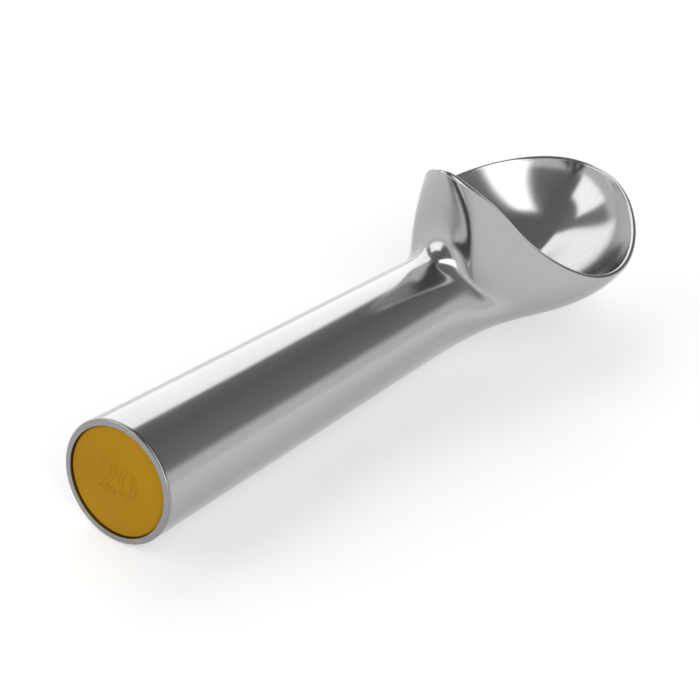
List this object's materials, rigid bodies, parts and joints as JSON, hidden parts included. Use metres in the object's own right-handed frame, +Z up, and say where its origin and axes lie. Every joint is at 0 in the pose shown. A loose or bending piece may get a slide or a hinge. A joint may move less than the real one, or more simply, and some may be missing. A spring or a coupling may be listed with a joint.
{
  "type": "ice cream dipper",
  "caption": "One-piece cast ice cream dipper with a fluid-filled round handle, an open bowl and a coloured end cap.",
  "frame": {"origin": "under the middle of the dipper's overall box, on the surface that it lies on", "axes": "+X along the handle from the butt to the bowl's lip, +Y across, +Z up out of the bowl's mouth"},
  "size_m": [0.1774, 0.0534, 0.0479],
  "materials": {
    "polished_aluminium": "satin",
    "plug_aluminium": "satin",
    "heat_fluid": "gloss",
    "seal_rubber": "matte",
    "cap_plastic": "satin"
  },
  "bodies": {
    "root": {"dipper_casting": "polished_aluminium", "heat_transfer_fluid": "heat_fluid", "closure_plug": "plug_aluminium", "plug_o_ring": "seal_rubber", "end_cap": "cap_plastic"}
  },
  "joints": []
}
